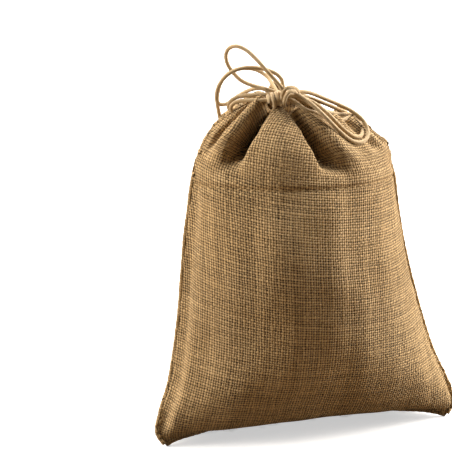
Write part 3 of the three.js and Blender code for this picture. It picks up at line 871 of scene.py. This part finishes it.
def add_seams(jute, thread):
    """Side seams and bottom seam with their stitches."""
    levels = np.linspace(0.035, SEAM_TOP, 260)
    for hand, word in ((LEFT, "left"), (RIGHT, "right")):
        line = body_shape(FRONT, np.full(len(levels), float(hand)), levels)
        roll = seam_roll(line, 2.3, 2.9, (0.12, 0.25, 0), 0.07)
        settle(add_mesh(f"{word}_seam_edge", *roll[:2], jute, roll[2]), "pouch",
               [f"{word}_side_seam"])
        beside = line + np.array([-hand * 1.0, -1.35, 0])
        parts = stitches(beside, np.tile([0.25 * hand, -1.0, 0], (len(line), 1)), 2.9, 1.3, 0.62, 0.12)
        settle(add_mesh(f"{word}_seam_stitches", *parts[:2], thread, parts[2]), "pouch",
               [f"{word}_seam_thread"])
    places = np.linspace(-0.985, 0.985, 260)
    line = body_shape(FRONT, places, np.zeros(len(places)))
    line[:, 2] = np.maximum(line[:, 2] + 0.4, 1.35)
    roll = seam_roll(line, 2.6, 2.3, (0, 0.15, 0.1), 0.06)
    settle(add_mesh("bottom_seam_edge", *roll[:2], jute, roll[2]), "pouch", ["bottom_seam"])
    beside = line + np.array([0, -0.9, 1.5])
    parts = stitches(beside, np.tile([0, -1.0, 0.1], (len(line), 1)), 2.9, 1.3, 0.62, 0.1)
    settle(add_mesh("bottom_seam_stitches", *parts[:2], thread, parts[2]), "pouch",
           ["bottom_seam_thread"])


def add_hem_stitches(side, word, thread):
    """The line of stitches that holds one hem."""
    across = np.linspace(-0.965, 0.965, 240)
    rows = np.array([HEM_LEVEL - HEM_STEP, HEM_LEVEL, HEM_LEVEL + HEM_STEP])
    points, _ = cloth_grid(side, across, rows)
    normals = outward_normals(points, side)
    parts = stitches(points[1], normals[1], 2.7, 1.5, 0.7, 0.25)
    settle(add_mesh(f"{word}_hem_stitches", *parts[:2], thread, parts[2]), "pouch",
           [f"{word}_hem_thread"])


def add_fuzz(name, surfaces, count, material, rng, reach):
    """Fine loose fibres that stand off the cloth."""
    parts = []
    for _ in range(count):
        points, normals = rng.choice(surfaces)
        row, column = rng.randrange(4, points.shape[0] - 1), rng.randrange(3, points.shape[1] - 3)
        root, out = Vector(points[row, column]), Vector(normals[row, column])
        drift = Vector((rng.gauss(0, 1), rng.gauss(0, 1), rng.gauss(0, 1)))
        length = rng.uniform(*reach)
        drift = (drift - out * drift.dot(out)).normalized() * length
        height = rng.uniform(0.3, 1.5)
        crest = root + drift * 0.3 + out * height
        descent = root + drift * 0.7 + out * height * rng.uniform(0.6, 1.6)
        tip = root + drift + out * rng.uniform(0.1, 1.4)
        hair = route_line([root - out * 0.5, crest, descent, tip], 1.3)
        hair[:, 2] = np.maximum(hair[:, 2], 0.2)
        parts.append(rope_parts(hair, 0.11, sides=3, relief=0))
    points, faces, uvs = joined(parts)
    settle(add_mesh(name, points, faces, material, uvs), "pouch")


def add_frayed_ends(surfaces, material, rng):
    """Cut threads of the hem's ends that stick out beside the two side exits."""
    parts = []
    for points, normals in surfaces:
        last = points.shape[1] - 1
        for _ in range(26):
            share = rng.uniform(0.03, 0.17)
            column = round(last * share) if rng.random() < 0.5 else round(last * (1 - share))
            root = Vector(points[-1, column]) - Vector(normals[-1, column]) * 2.0
            tip = Vector((rng.gauss(0, 3.0), rng.gauss(0, 1.2), rng.uniform(-3.0, 1.6)))
            bow = Vector((rng.gauss(0, 0.9), rng.gauss(0, 0.6), rng.uniform(0.2, 1.3)))
            strand = route_line([root, root + tip * 0.4 + bow, root + tip * 0.75 + bow, root + tip], 0.8)
            parts.append(rope_parts(strand, rng.uniform(0.35, 0.8), sides=6, plies=2, lay=2.4, relief=0.2))
    points, faces, uvs = joined(parts)
    settle(add_mesh("frayed_ends", points, faces, material, uvs), "pouch")


# ---------------------------------------------------------------- studio
def add_light(name, place, target, size, power, colour):
    """A soft rectangular lamp that faces a target."""
    lamp = bpy.data.objects.new(name, bpy.data.lights.new(name, "AREA"))
    bpy.context.scene.collection.objects.link(lamp)
    lamp.location = place
    lamp.rotation_euler = (Vector(target) - Vector(place)).to_track_quat("-Z", "Y").to_euler()
    lamp.data.shape = "RECTANGLE"
    lamp.data.size, lamp.data.size_y = size
    lamp.data.energy = power
    lamp.data.color = colour


def add_studio():
    """A sweep under large soft lamps. Sweep and room look pale to the camera only: to all other rays
    the sweep is brown and the room is faint, so that they light the pouch little."""
    sweep, n, shader = new_material("pale_sweep", 0.45, specular=0.35)
    seen = n.add("ShaderNodeLightPath").outputs["Is Camera Ray"]
    n.feed(shader.inputs["Base Color"], n.mix(seen, (0.20, 0.14, 0.08, 1), (0.84, 0.84, 0.84, 1)))
    n.feed(shader.inputs["Emission Color"], n.mix(seen, (0, 0, 0, 1), (0.55, 0.55, 0.55, 1)))
    shader.inputs["Emission Strength"].default_value = 1.0
    length, rise = 6.0, 0.9
    profile = [(-length, 0), (0.9, 0)]
    curve = np.linspace(0.1, math.pi / 2, 12)
    profile += [(0.9 + 0.5 * math.sin(a), 0.5 * (1 - math.cos(a))) for a in curve]
    profile.append((1.4, rise + 1.2))
    points = [(x, y, z) for y, z in profile for x in (-6, 6)]
    faces = [(2 * k, 2 * k + 1, 2 * k + 3, 2 * k + 2) for k in range(len(profile) - 1)]
    add_mesh("floor", np.array(points) / MM, faces, sweep)
    world = bpy.data.worlds.new("studio")
    bpy.context.scene.world = world
    world.use_nodes = True
    room = Nodes(world.node_tree)
    sky = world.node_tree.nodes["Background"]
    sky.inputs["Color"].default_value = (1, 1, 1, 1)
    seen = room.add("ShaderNodeLightPath").outputs["Is Camera Ray"]
    room.feed(sky.inputs["Strength"], room.math("MULTIPLY_ADD", seen, 0.95, 0.05))
    centre = (0, 0, 0.1)
    add_light("top_softbox", (-0.1, 0.25, 1.1), centre, (0.8, 0.7), 20, (1, 0.98, 0.95))
    add_light("left_softbox", (-1.05, 0.05, 0.5), centre, (0.5, 0.9), 19, (1, 0.96, 0.90))
    add_light("right_softbox", (1.05, 0.0, 0.5), centre, (0.6, 0.9), 35, (1, 0.96, 0.90))
    add_light("rear_softbox", (0.15, 1.0, 0.95), centre, (1.2, 0.5), 9, (1, 0.98, 0.95))
    bpy.context.scene.view_settings.view_transform = "Standard"


# ---------------------------------------------------------------- assembly
add_camera()
weave, mottle = plain_weave_group(), mottle_group()
cotton = cotton_material(mottle)
add_drawstrings(cotton, random.Random(5))
add_bow_knot(cotton)

front_jute = jute_material("jute_front", weave, mottle, 3.0, hem=True)
back_jute = jute_material("jute_back", weave, mottle, 8.0, hem=True)
seam_jute = jute_material("jute_seam", weave, mottle, 14.0, width=0.95)
thread = fibre_material("sewing_thread", (0.60, 0.42, 0.21, 1), (0.38, 0.25, 0.11, 1), mottle)
fibres = fibre_material("loose_fibres", (0.62, 0.43, 0.22, 1), (0.36, 0.23, 0.10, 1), mottle)
faces_of_cloth = []
for side, jute in ((FRONT, front_jute), (BACK, back_jute)):
    faces_of_cloth.append(add_cloth(side, jute))
add_seams(seam_jute, thread)
add_hem_stitches(FRONT, "front", thread)
add_hem_stitches(BACK, "back", thread)
add_fuzz("jute_fuzz", faces_of_cloth, 900, fibres, random.Random(11), (3, 9))
add_frayed_ends(faces_of_cloth, fibres, random.Random(23))
add_studio()
